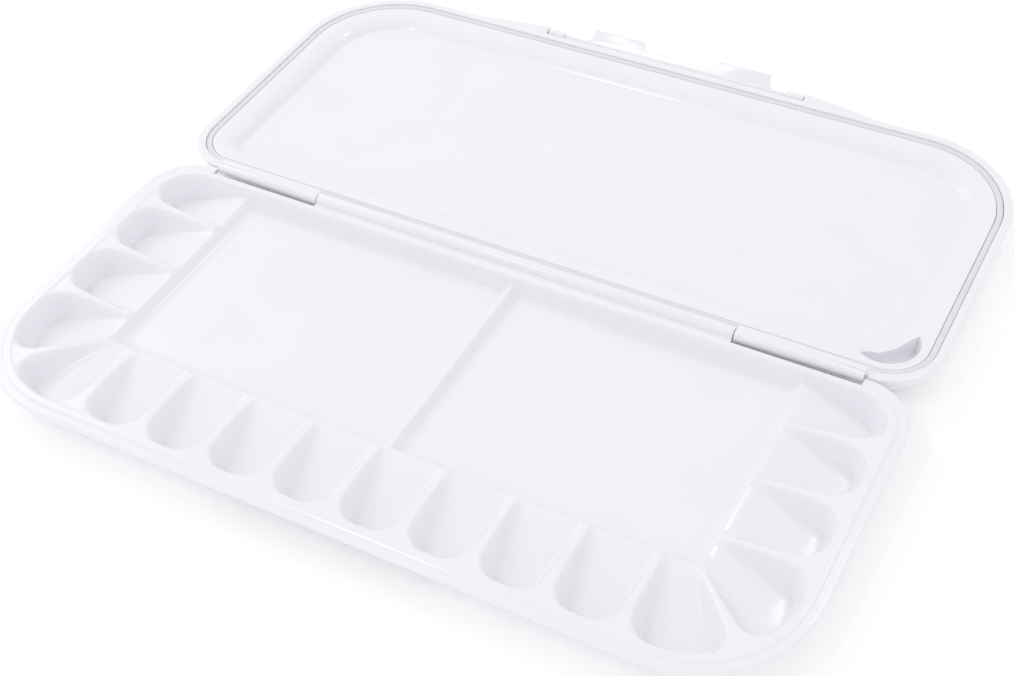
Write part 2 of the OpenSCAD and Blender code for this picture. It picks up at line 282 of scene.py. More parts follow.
class Ring:
    """Points round the outline of a half, each with the direction inwards from it."""

    def __init__(self):
        self.base = []
        self.inward = []
        self.hinge = []

    def add(self, x, v, nx, nv, hinge=0.0):
        self.base.append((x, v))
        self.inward.append((nx, nv))
        self.hinge.append(hinge)

    def arrays(self):
        return np.array(self.base), np.array(self.inward), np.array(self.hinge)

    def loop(self, inset, shift=0.0):
        """The points moved in by inset, and those on the hinge side moved by shift as well."""
        base, inward, hinge = self.arrays()
        points = base + inset * inward
        points[:, 1] += shift * hinge
        return points

    def hinge_side(self, xs):
        for x in xs:
            self.add(x, EDGE_GAP, 0, 1, 1.0)

    def side(self, sign, vs):
        for v in vs:
            self.add(sign * HALF_W, v, -sign, 0)

    def front(self, xs):
        for x in xs:
            self.add(x, HALF_DEPTH, 0, -1)

    def corner(self, sign, far, degrees):
        """A quarter turn: 0 degrees points out to the side."""
        r = OUTER_R if far else HINGE_R
        centre_x = sign * (HALF_W - r)
        centre_v = HALF_DEPTH - r if far else EDGE_GAP + r
        for angle in degrees:
            cos, sin = math.cos(math.radians(angle)), math.sin(math.radians(angle))
            sin = sin if far else -sin
            self.add(centre_x + sign * r * cos, centre_v + r * sin, -sign * cos, -sin,
                     0.0 if far else 1.0)


def spread(start, end, count):
    """Evenly spaced values, without the last."""
    return list(np.linspace(start, end, count, endpoint=False))


# ---------------------------------------------------------------- meshes


def tray_place(points):
    """Tray points [x, v, z] in millimetres, as frame coordinates in metres."""
    points = np.asarray(points, float)
    return np.stack([points[..., 0], HINGE_Y - points[..., 1], RIM_Z + points[..., 2]], -1) * MM


class Sheets:
    """Collects sheets of quads and flat faces, which are welded into one mesh."""

    def __init__(self, place):
        self.place = place
        self.points = []
        self.faces = []
        self.count = 0

    def grid(self, rows, closed=False):
        """A sheet from rows of points, all of one length."""
        rows = np.asarray(rows, float)
        n_rows, n = rows.shape[:2]
        self.points.append(rows.reshape(-1, 3))
        for i in range(n_rows - 1):
            for j in range(n if closed else n - 1):
                a = self.count + i * n + j
                b = self.count + i * n + (j + 1) % n
                self.faces.append((a, b, b + n, a + n))
        self.count += n_rows * n

    def cap(self, loop):
        """One flat face."""
        self.points.append(np.asarray(loop, float))
        self.faces.append(tuple(range(self.count, self.count + len(loop))))
        self.count += len(loop)

    def build(self, name):
        """The welded mesh, with its faces turned outwards."""
        mesh = bpy.data.meshes.new(name)
        mesh.from_pydata(self.place(np.concatenate(self.points)).tolist(), [], self.faces)
        piece = bpy.data.objects.new(name, mesh)
        bpy.context.collection.objects.link(piece)
        take(piece)
        bpy.ops.object.mode_set(mode="EDIT")
        bpy.ops.mesh.select_all(action="SELECT")
        bpy.ops.mesh.remove_doubles(threshold=2e-6)
        bpy.ops.mesh.dissolve_degenerate(threshold=1e-6)
        bpy.ops.mesh.select_all(action="SELECT")
        bpy.ops.mesh.normals_make_consistent(inside=False)
        bpy.ops.object.mode_set(mode="OBJECT")
        return piece


def take(*pieces):
    """Selects these pieces and nothing else."""
    bpy.ops.object.select_all(action="DESELECT")
    for piece in pieces:
        piece.select_set(True)
    bpy.context.view_layer.objects.active = pieces[0]


def named(name):
    """Gives the new primitive its name, and puts its place into its mesh."""
    piece = bpy.context.view_layer.objects.active
    piece.name = name
    bpy.ops.object.transform_apply(location=True, rotation=True, scale=True)
    return piece


def finish_with(piece, kind, **settings):
    """Adds a modifier and applies it."""
    take(piece)
    modifier = piece.modifiers.new(kind.lower(), kind)
    for key, value in settings.items():
        setattr(modifier, key, value)
    bpy.ops.object.modifier_apply(modifier=modifier.name)


def cut(piece, tool, operation="DIFFERENCE"):
    """Cuts a tool out of a piece, or joins it on, and removes the tool."""
    finish_with(piece, "BOOLEAN", operation=operation, object=tool, solver="EXACT")
    bpy.data.objects.remove(tool, do_unlink=True)


def round_edges(piece, radius, degrees=40):
    """Rounds the sharp edges of a piece."""
    finish_with(piece, "BEVEL", width=radius * MM, segments=4, limit_method="ANGLE",
                angle_limit=math.radians(degrees))


def recalculate():
    """Turns the edited piece's faces outwards and leaves edit mode."""
    bpy.ops.mesh.select_all(action="SELECT")
    bpy.ops.mesh.normals_make_consistent(inside=False)
    bpy.ops.object.mode_set(mode="OBJECT")


def select(piece, kind, test):
    """Enters edit mode with the vertices, edges or polygons that pass a test selected.

    The test takes places in millimetres: a point, an edge's two ends, or a centre and normal.
    """
    take(piece)
    modes = {"vertices": "VERT", "edges": "EDGE", "polygons": "FACE"}
    bpy.ops.object.mode_set(mode="EDIT")
    bpy.ops.mesh.select_mode(type=modes[kind])
    bpy.ops.mesh.select_all(action="DESELECT")
    bpy.ops.object.mode_set(mode="OBJECT")
    mesh = piece.data
    for item in getattr(mesh, kind):
        if kind == "vertices":
            item.select = bool(test(item.co / MM))
        elif kind == "edges":
            item.select = bool(test(*(mesh.vertices[i].co / MM for i in item.vertices)))
        else:
            item.select = bool(test(item.center / MM, item.normal))
    bpy.ops.object.mode_set(mode="EDIT")


def slab(name, x_range, v_range, z_range, side, rounding=0.0):
    """A block between ranges of x, v and z, on the lid's side (1) or the tray's (-1)."""
    middle = [sum(r) / 2 for r in (x_range, v_range, z_range)]
    size = [abs(r[1] - r[0]) for r in (x_range, v_range, z_range)]
    bpy.ops.object.select_all(action="DESELECT")
    bpy.ops.mesh.primitive_cube_add(
        size=1, scale=[length * MM for length in size],
        location=(middle[0] * MM, (HINGE_Y + side * middle[1]) * MM, (RIM_Z + middle[2]) * MM))
    piece = named(name)
    if rounding:
        round_edges(piece, rounding)
    return piece


def block(name, inset, low, high, side, hinge_shift=0.0):
    """A block with the rounded outline of a half, moved in by an inset."""
    near, far = EDGE_GAP + hinge_shift + inset, HALF_DEPTH - inset
    half_x = HALF_W - inset
    piece = slab(name, (-half_x, half_x), (near, far), (low, high), side)
    middle_y = HINGE_Y + side * MID_V
    for far_end, r, segments in ((True, OUTER_R, 44), (False, HINGE_R, 28)):
        select(piece, "edges", lambda a, b: (a - b).xy.length < 1e-3
               and abs(abs(a.x) - half_x) < 0.01 and ((a.y - middle_y) * side > 0) == far_end)
        bpy.ops.mesh.bevel(offset=(r - inset) * MM, segments=segments, affect="EDGES")
        bpy.ops.object.mode_set(mode="OBJECT")
    return piece


def step_in(piece, start, section, up, side):
    """Steps a block's top (up=1) or bottom (-1) through a section: [inset, height, shift].

    The shift moves the hinge side of a step away from the hinge.
    """
    flat = [p for p in piece.data.polygons if p.normal.z * up > 0.9]
    level = max(p.center.z * up for p in flat)
    select(piece, "polygons", lambda c, n: n.z * up > 0.9 and c.z * up * MM > level - 1e-6)
    middle_y = HINGE_Y + side * MID_V
    inset, height, shift = start
    for next_inset, next_height, next_shift in section:
        step, rise = next_inset - inset, next_height - height
        if step > 1e-6:
            bpy.ops.mesh.inset(thickness=step * MM, depth=rise * up * MM, use_individual=True)
        else:
            bpy.ops.mesh.extrude_region_move(
                TRANSFORM_OT_translate={"value": (0, 0, rise * MM)})
        if next_shift != shift:
            bpy.ops.object.mode_set(mode="OBJECT")
            face = next(p.index for p in piece.data.polygons if p.select)
            for i in piece.data.polygons[face].vertices:
                vertex = piece.data.vertices[i]
                if (vertex.co.y / MM - middle_y) * side < 0:
                    vertex.co.y += side * (next_shift - shift) * MM
            bpy.ops.object.mode_set(mode="EDIT")
        inset, height, shift = next_inset, next_height, next_shift
    bpy.ops.object.mode_set(mode="OBJECT")


def joined(*pieces):
    """Several meshes as one object."""
    take(*pieces)
    bpy.ops.object.join()
    return bpy.context.view_layer.objects.active


def smooth(piece, degrees=35):
    """Smooth shading, with sharp edges past an angle."""
    take(piece)
    bpy.ops.object.shade_smooth_by_angle(angle=math.radians(degrees))


def bar(name, x_from, x_to, centre_y, centre_z, r, rounding=0.0, sides=64):
    """A round bar along X, its ends rounded."""
    bpy.ops.object.select_all(action="DESELECT")
    bpy.ops.mesh.primitive_cylinder_add(
        vertices=sides, radius=r * MM, depth=abs(x_to - x_from) * MM,
        location=((x_from + x_to) / 2 * MM, centre_y * MM, centre_z * MM),
        rotation=(0, math.pi / 2, 0))
    piece = named(name)
    if rounding:
        round_edges(piece, rounding, 60)
    return piece


# ---------------------------------------------------------------- tray

# Turn of a far corner, in degrees, at which its diagonal divider stands
DIAGONAL = 44.2
# Distances across a divider's side at which the sheet has a line
ACROSS = [0.25, 0.5, 0.75, 1.0, 1.3, 1.6, 2.0, 2.5, 3.1, 3.8, 4.6, 5.5, 6.6, 8.0, 10.0]
# Distances in from the outline at which the sheet has a line
INWARDS = [6.0, 6.5, 6.8, 7.0, 7.2, 7.4, 7.6, 7.85, 8.15, 8.5, 8.9, 9.35, 9.8, 10.3, 10.8,
           11.3, 11.9, 12.6, 13.4, 14.6, 16.2, 18.0]
# Shares of the way from there to the crest
TO_CREST = [0.12, 0.25, 0.4, 0.55, 0.7, 0.8, 0.88, 0.93, 0.965, 0.985, 1.0]
# Distances inwards from the crest into a mixing area
PAST_CREST = [0, 0.3, 0.6, 0.9, 1.2, 1.5, 1.9, 2.4, 2.8, 3.2, 3.5, 3.8, 4.1, 4.4, 4.7, 5.0, 5.3,
              5.6, 5.9, 6.3, 7.0, 8.0]


def lines_between(start, end, fine_start=True, fine_end=True):
    """Values from start up to end, close together beside a divider, without the end."""
    half = abs(end - start) / (2 if fine_start and fine_end else 1)
    step = 1 if end > start else -1
    near = [a for a in ACROSS if a < half - 0.5]
    values = [start]
    if fine_start:
        values += [start + step * a for a in near]
    if fine_start and fine_end:
        values.append((start + end) / 2)
    if fine_end:
        values += [end - step * a for a in reversed(near)]
    return values


def half_ring(sign):
    """Points from the hinge end of one row of wells to the front middle, with their crest points.

    Returns the ring and the crest point that each of its points is joined to.
    """
    ring = Ring()
    crest = []
    ring.hinge_side([sign * x for x in (
        [CREST_X, CREST_X + 0.5, CREST_X + 1.1, CREST_X + 2, CREST_X + 3.2, CREST_X + 5,
         CREST_X + 8, CREST_X + 12, CREST_X + 17])])
    ring.corner(sign, False, [90 - a for a in spread(0, 90, 14)])
    first = EDGE_GAP + HINGE_R
    ring.side(sign, lines_between(first, DIVIDERS_V[-1], fine_start=False))
    # The hinge end fans out from the crest
    points = np.array(ring.base)
    run = np.concatenate([[0], np.cumsum(np.hypot(*np.diff(points, axis=0).T))])
    run_end = run[-1] + DIVIDERS_V[-1] - points[-1, 1]
    crest_start = EDGE_GAP + INWARDS[-1]
    crest += [(sign * CREST_X, crest_start + (DIVIDERS_V[-1] - crest_start) * r / run_end)
              for r in run]
    # Side wells
    stops = list(reversed(DIVIDERS_V))
    vs = []
    for low, high in zip(stops, stops[1:]):
        vs += lines_between(low, high)
    far_v = HALF_DEPTH - OUTER_R
    vs += lines_between(stops[-1], far_v, fine_end=False)
    ring.side(sign, vs)
    crest += [(sign * CREST_X, v) for v in vs]
    # Far corner, close together beside the diagonal divider
    turn = [0] + [DIAGONAL - a for a in (36, 30, 25, 21, 17.5, 14.5, 12, 10, 8.4, 7, 5.8, 4.8, 3.9,
                                         3.1, 2.4, 1.8, 1.3, 0.9, 0.45)]
    turn += [DIAGONAL] + [DIAGONAL + a for a in (0.45, 0.9, 1.3, 1.8, 2.4, 3.1, 3.9, 4.8, 5.8, 7,
                                                 8.4, 10, 12, 14.5, 17.5, 21, 25, 30, 36, 41)]
    ring.corner(sign, True, turn)
    for angle in turn:
        if angle < DIAGONAL:
            share = angle / DIAGONAL
            crest.append((sign * CREST_X, far_v + (CREST_V - far_v) * share))
        else:
            share = (angle - DIAGONAL) / (90 - DIAGONAL)
            crest.append((sign * (CREST_X + (HALF_W - OUTER_R - CREST_X) * share), CREST_V))
    return ring, crest


def front_lines():
    """Places across the front, from the right corner to the left one."""
    xs = lines_between(HALF_W - OUTER_R, DIVIDERS_X[-1], fine_start=False)
    for right, left in zip(reversed(DIVIDERS_X), reversed(DIVIDERS_X[:-1])):
        xs += lines_between(right, left)
    xs += [-x for x in reversed(lines_between(HALF_W - OUTER_R, DIVIDERS_X[-1], fine_start=False))]
    xs.append(RIB_X)
    return sorted(set(np.round(xs, 6)), reverse=True)


def tray_rings():
    """The ring round the wells from right to left, its crest points, and the hinge side's ring."""
    right, right_crest = half_ring(1)
    left, left_crest = half_ring(-1)
    wells = Ring()
    xs = front_lines()
    crest = list(right_crest)
    wells.base += right.base
    wells.inward += right.inward
    wells.hinge += right.hinge
    wells.front(xs)
    crest += [(x, CREST_V) for x in xs]
    wells.base += reversed(left.base)
    wells.inward += reversed(left.inward)
    wells.hinge += reversed(left.hinge)
    crest += reversed(left_crest)
    back = Ring()
    near = [0.6, 1.4, 2.4, 3.6, 5.0, 7.0]
    marks = [CREST_X - a for a in near] + list(np.linspace(CREST_X - 12, RIB_X + 12, 12))
    marks += [RIB_X + a for a in reversed(near)] + [RIB_X] + [RIB_X - a for a in near]
    marks += list(np.linspace(RIB_X - 12, -CREST_X + 12, 12))
    marks += [-CREST_X + a for a in reversed(near)]
    back.hinge_side([-x for x in marks])
    back.base = [(-x, v) for x, v in back.base]
    return wells, crest, back


def lifted(points, height):
    """Plan points with their height as a third column."""
    points = np.asarray(points, float)
    return np.column_stack([points, height(points[:, 0], points[:, 1])])


def rim_section():
    """The tray's rim from the land round its edge and down to the foot: [inset, height]."""
    return [
        (6.0, 0.5), (4.75, 0.5), (4.45, 0.48), (4.15, 0.4), (3.85, 0.25), (3.55, 0.1),
        (3.25, 0.02), (2.95, 0), (0.75, 0), (0.42, -0.04), (0.2, -0.15), (0.06, -0.34),
        (0, -0.6), (0, -1.2), (0.06, -1.46), (0.2, -1.66), (0.45, -1.8), (4.6, -1.8),
        (5.05, -1.86), (5.3, -2.02), (5.45, -2.3), (5.55, -2.7), (8.9, -12.2), (9.05, -12.6),
        (9.3, -12.9), (9.65, -13), (10.9, -13), (11.2, -12.95), (11.4, -12.8)]


def mixing_rows(boundary, low, high, insets, height):
    """Loops that shrink from a rectangle's boundary, for the floor inside it."""
    low, high = np.array(low), np.array(high)
    size = high - low
    rows = []
    for inset in insets:
        points = low + inset + (boundary - low) * (size - 2 * inset) / size
        rows.append(lifted(points, height))
    return rows


def tray_shell():
    """Tray without its hinge, as one closed skin."""
    wells, crest, back = tray_rings()
    crest = np.array(crest)
    skin = Sheets(tray_place)

    # Upper face: from the land across the wells to the crest
    rows = [lifted(wells.loop(d), tray_height) for d in INWARDS]
    inner = wells.loop(INWARDS[-1])
    rows += [lifted(inner + (crest - inner) * share, tray_height) for share in TO_CREST]
    skin.grid(rows)

    # The two mixing areas
    start_v = EDGE_GAP + INWARDS[0]
    end_lines = [EDGE_GAP + d for d in INWARDS[:-1]]
    rib_lines = ([start_v] + [start_v + a for a in (0.6, 1.2, 1.8, 2.4, 3, 3.8, 5, 7, 10)]
                 + spread(start_v + 15, CREST_V - 15, 8)
                 + [CREST_V - a for a in (10, 7, 5, 4, 3.4, 2.8, 2.2, 1.8, 1.4, 1.0, 0.6)])
    rib = [(RIB_X, v) for v in rib_lines]
    middle = next(i for i, p in enumerate(crest) if abs(p[0] - RIB_X) < 1e-4 and p[1] == CREST_V)
    back_x = [x for x, _ in back.base]
    for sign in (1, -1):
        ends = [(sign * CREST_X, v) for v in end_lines]
        if sign > 0:
            around = ends + [tuple(p) for p in crest[:middle + 1]]
            hinge_edge = [(x, start_v) for x in back_x if x > RIB_X + 1e-6]
            low, high = (RIB_X, start_v), (CREST_X, CREST_V)
        else:
            around = ends + [tuple(p) for p in crest[:middle - 1:-1]]
            hinge_edge = [(x, start_v) for x in reversed(back_x) if x < RIB_X - 1e-6]
            low, high = (-CREST_X, start_v), (RIB_X, CREST_V)
        around += list(reversed(rib))
        around += sorted(hinge_edge, key=lambda p: sign * p[0])
        rows = mixing_rows(np.array(around), low, high, PAST_CREST, tray_height)
        skin.grid(rows, closed=True)
        skin.cap(rows[-1])

    # Rim, outside wall and foot
    whole = Ring()
    whole.base = wells.base + sorted(back.base)
    whole.inward = wells.inward + back.inward
    whole.hinge = wells.hinge + back.hinge
    rows = []
    for inset, z in rim_section():
        shift = HINGE_SHIFT if 2.9 < inset < 5 else 0.0
        points = whole.loop(inset, shift)
        rows.append(np.column_stack([points, np.full(len(points), z)]))
    foot_d = 11.5
    rows.append(lifted(whole.loop(foot_d), tray_under))
    skin.grid(rows, closed=True)

    # Lower face
    under_d = [foot_d, 13.0, 15.5, INWARDS[-1]]
    rows = [lifted(wells.loop(d), tray_under) for d in under_d]
    rows += [lifted(inner + (crest - inner) * share, tray_under) for share in (0.4, 0.8, 1.0)]
    skin.grid(rows)
    under_v = EDGE_GAP + foot_d
    around = [(CREST_X, EDGE_GAP + d) for d in under_d[:-1]] + [tuple(p) for p in crest]
    around += [(-CREST_X, EDGE_GAP + d) for d in reversed(under_d[:-1])]
    around += [(x, under_v) for x, _ in sorted(back.base)]
    rows = mixing_rows(np.array(around), (-CREST_X, under_v), (CREST_X, CREST_V), (0, 1.2, 3.6),
                       tray_under)
    skin.grid(rows, closed=True)
    skin.cap(rows[-1])
    return skin.build("tray_moulding")


def make_tray():
    """Tray with its middle knuckle, the room for the lid's knuckles, and the catch bead."""
    piece = tray_shell()
    notches = [bar("notch", side * (TRAY_KNUCKLE + 0.03), side * (KNUCKLE_TO + 0.5), HINGE_Y,
                   AXIS_Z, NOTCH_R, sides=96) for side in (-1, 1)]
    cut(piece, joined(*notches))
    barrel = bar("barrel", -TRAY_KNUCKLE, TRAY_KNUCKLE, HINGE_Y, AXIS_Z, KNUCKLE_R, 0.25)
    bead_half = TAB_X + TAB_W + 2
    cut(piece, slab("web", (-TRAY_KNUCKLE, TRAY_KNUCKLE), (0.4, 3.2), (-1.75, -0.02), -1), "UNION")
    cut(piece, barrel, "UNION")
    cut(piece, slab("bead", (-bead_half, bead_half), (HALF_DEPTH - 4.4, HALF_DEPTH - 1),
                    (-3.6, -1.7), -1, 0.6), "UNION")
    bores = [bar("bore", side * (TRAY_KNUCKLE - PIN_GRIP), side * (TRAY_KNUCKLE + 1), HINGE_Y,
                 AXIS_Z, PIN_HOLD_R, sides=32) for side in (-1, 1)]
    cut(piece, joined(*bores))
    smooth(piece)
    return piece


# ---------------------------------------------------------------- lid

# The lid's upper side from its lip inwards: [inset, height, shift of the hinge side]
LID_TOP = [
    (0.05, -0.4, 0), (0.2, -0.17, 0), (0.45, -0.05, 0), (0.85, 0, 0), (2.95, 0, HINGE_SHIFT),
    (3.22, -0.07, HINGE_SHIFT), (3.36, -0.2, HINGE_SHIFT), (LID_LAND, -0.4, HINGE_SHIFT),
    (LID_LAND, -2.2, HINGE_SHIFT), (3.46, -2.34, HINGE_SHIFT), (3.6, -2.4, HINGE_SHIFT),
    (6.1, -2.4, HINGE_SHIFT), (6.24, -2.34, HINGE_SHIFT), (GROOVE_TO, -2.2, HINGE_SHIFT),
    (GROOVE_TO, -1.05, HINGE_SHIFT), (6.34, -0.92, HINGE_SHIFT), (6.44, -0.84, HINGE_SHIFT),
    (6.6, -RIDGE_DROP, HINGE_SHIFT)]
# Insets of the lines on the border of the recess
BORDER = [7.1, 7.8, 8.5, 9.2, 10, 10.8, 11.6, 12.4, 13.2, 14, 14.8, 15.5, 16.1, 16.7, 17.2, 17.6,
          17.85, 18.05, 18.2, 18.35, 18.6, 19, 19.6, 20.5]
# The foot under the outside wall, and the hollow inside it
LID_FOOT = [(0.04, -12.72, 0), (0.3, -12.92, 0), (0.75, -13, 0)]
HOLLOW_ROOF = [(5.9, -4.2, 0), (8.5, -4.2, 0), (13.5, -5.4, 0), (18.2, -6.6, 0)]
HOLLOW_SIDE = [(8.1, -10.6, 0), (10.6, -12.8, 0), (11.0, -13.3, 0)]


def recess_height(inset):
    """Border of the recess: crowned, so it is steepest where it meets the floor."""
    across = max(0.0, (inset - RIDGE_TO) / (RECESS_D - RIDGE_TO))
    falling = (RECESS_DEPTH - RIDGE_DROP) * across ** BORDER_CROWN
    return float(soft_max(-RECESS_DEPTH, -RIDGE_DROP - falling, 0.3))


def outside_wall(steps=12):
    """The bulging outside wall from the lip down to the foot: [inset, height, no shift]."""
    lean = np.array([SIDE_LEAN, LIP_H - RIM_Z + 0.35])
    outwards = np.array([lean[1], -lean[0]]) / np.linalg.norm(lean)
    points = []
    for i in range(1, steps + 1):
        share = i / steps
        inset, height = share * lean + 4 * share * (1 - share) * 1.1 * outwards
        points.append((inset, height - LIP_H, 0))
    return points


def pocket(name, grow, low, high, rounding, draft, chord):
    """The corner pocket as a solid: a cone's disc cut by a slanting chord, rounded below."""
    centre = np.array([HALF_W - HINGE_R, HINGE_Y + EDGE_GAP + HINGE_R])
    r = POCKET_R + grow
    bpy.ops.object.select_all(action="DESELECT")
    bpy.ops.mesh.primitive_cone_add(
        vertices=96, radius1=r * draft * MM, radius2=r * MM, depth=(high - low) * MM,
        location=(centre[0] * MM, centre[1] * MM, (RIM_Z + (low + high) / 2) * MM))
    piece = named(name)
    across = chord / math.sqrt(2)
    bpy.ops.object.mode_set(mode="EDIT")
    bpy.ops.mesh.select_all(action="SELECT")
    bpy.ops.mesh.bisect(
        plane_co=((centre[0] + across) * MM, (centre[1] - across) * MM, 0),
        plane_no=(math.sqrt(0.5), -math.sqrt(0.5), 0), use_fill=True, clear_inner=True)
    bpy.ops.object.mode_set(mode="OBJECT")
    lowest = RIM_Z + low
    select(piece, "edges", lambda a, b: max(a.z, b.z) < lowest + 0.01)
    bpy.ops.mesh.bevel(offset=rounding * MM, segments=6, affect="EDGES")
    recalculate()
    return piece


def ear(side):
    """One of the two wedges beside the clasp, tallest where it carries the clasp's pin."""
    piece = slab("ear", sorted((side * EAR_X, side * (EAR_X + EAR_LEN))),
                 (HALF_DEPTH - 1.5, HALF_DEPTH + EAR_OUT), (-EAR_DEEP, -0.02), 1)
    end_x, out_y = side * (EAR_X + EAR_LEN), HINGE_Y + HALF_DEPTH + EAR_OUT
    select(piece, "vertices",
           lambda p: abs(p.x - end_x) < 0.01 and abs(p.y - out_y) < 0.01)
    bpy.ops.transform.translate(value=(0, -(EAR_OUT + 0.03) * MM, 0))
    bpy.ops.object.mode_set(mode="OBJECT")
    round_edges(piece, 0.4)
    return piece


def tapered_knuckle(side):
    """A knuckle of the lid, slimmer towards the corner of the lid."""
    ends = sorted((side * KNUCKLE_FROM, side * KNUCKLE_TO))
    piece = bar("knuckle", *ends, HINGE_Y, AXIS_Z, KNUCKLE_R)
    select(piece, "vertices", lambda p: abs(p.x - side * KNUCKLE_TO) < 0.01)
    bpy.ops.transform.resize(value=(1, KNUCKLE_TAPER, KNUCKLE_TAPER),
                             center_override=(0, HINGE_Y * MM, AXIS_Z * MM))
    bpy.ops.object.mode_set(mode="OBJECT")
    round_edges(piece, 0.25, 60)
    return piece


def make_lid():
    """Lid with its groove, recess, corner pocket, knuckles and ears."""
    piece = block("lid_moulding", 0, -LIP_H, -0.6, 1)
    border = [(d, recess_height(d), HINGE_SHIFT if d < 7.2 else 0) for d in BORDER]
    step_in(piece, (0, -0.6, 0), LID_TOP + border, 1, 1)
    wall = outside_wall()
    foot = [(wall[-1][0] + d, z, s) for d, z, s in LID_FOOT]
    step_in(piece, (0, -LIP_H, 0), wall + foot, -1, 1)
    hollow = block("hollow", 5.4, -4.9, -4.4, 1)
    step_in(hollow, (5.4, -4.4, 0), HOLLOW_ROOF, 1, 1)
    step_in(hollow, (5.4, -4.9, 0), HOLLOW_SIDE, -1, 1)
    cut(piece, hollow)
    cut(piece, bar("room", -KNUCKLE_FROM + 0.1, KNUCKLE_FROM - 0.1, HINGE_Y, AXIS_Z,
                   KNUCKLE_R + 0.4, sides=96))
    cut(piece, pocket("cup", WALL, -POCKET_DEPTH - WALL, -4.95, 1.2, 0.96, POCKET_CHORD - WALL),
        "UNION")
    cut(piece, pocket("collar", WALL, -8.0, -3.95, 0.3, 1.0, POCKET_CHORD + 0.02), "UNION")
    cut(piece, pocket("pocket", 0.0, -POCKET_DEPTH, 1.0, 2.2, 0.9, POCKET_CHORD))
    for side in (-1, 1):
        ends = sorted((side * KNUCKLE_FROM, side * KNUCKLE_TO))
        cut(piece, slab("knuckle_root", (ends[0] + 0.06, ends[1] - 0.06), (0.8, 3.4),
                        (-1.66, 2.35), 1, 0.3), "UNION")
        cut(piece, tapered_knuckle(side), "UNION")
        cut(piece, ear(side), "UNION")
    for side in (-1, 1):
        cut(piece, bar("bore", side * (KNUCKLE_FROM - 1), side * (KNUCKLE_TO + 1), HINGE_Y,
                       AXIS_Z, PIN_BORE_R, sides=32))
        cut(piece, bar("bore", side * (EAR_X - 1), side * (EAR_X + 5.2), HINGE_Y + PIVOT_V,
                       RIM_Z + PIVOT_Z, 0.82, sides=24))
    smooth(piece)
    return piece


def make_gasket():
    """Silicone ring in the lid's groove, its upper edges softly rounded."""
    outer, inner = LID_LAND + GASKET_ROOM, GROOVE_TO - GASKET_ROOM
    low, high = -GROOVE_DEEP, GASKET_H - GROOVE_DEEP
    piece = block("gasket_ring", outer, low, high, 1, HINGE_SHIFT)
    cut(piece, block("middle", inner, low - 1, high + 1, 1, HINGE_SHIFT))
    top = RIM_Z + high
    select(piece, "edges", lambda a, b: min(a.z, b.z) > top - 0.01)
    bpy.ops.mesh.bevel(offset=0.5 * MM, segments=5, affect="EDGES")
    recalculate()
    smooth(piece)
    return piece


# ---------------------------------------------------------------- clasp

BEND = np.array([4.9, -4.6])
BAR_TIP = np.array([7.7, -1.85])
TAB_TIP = np.array([10.2, 0.7])
BEND_R = 1.6
CLASP_FLARE = 2.5


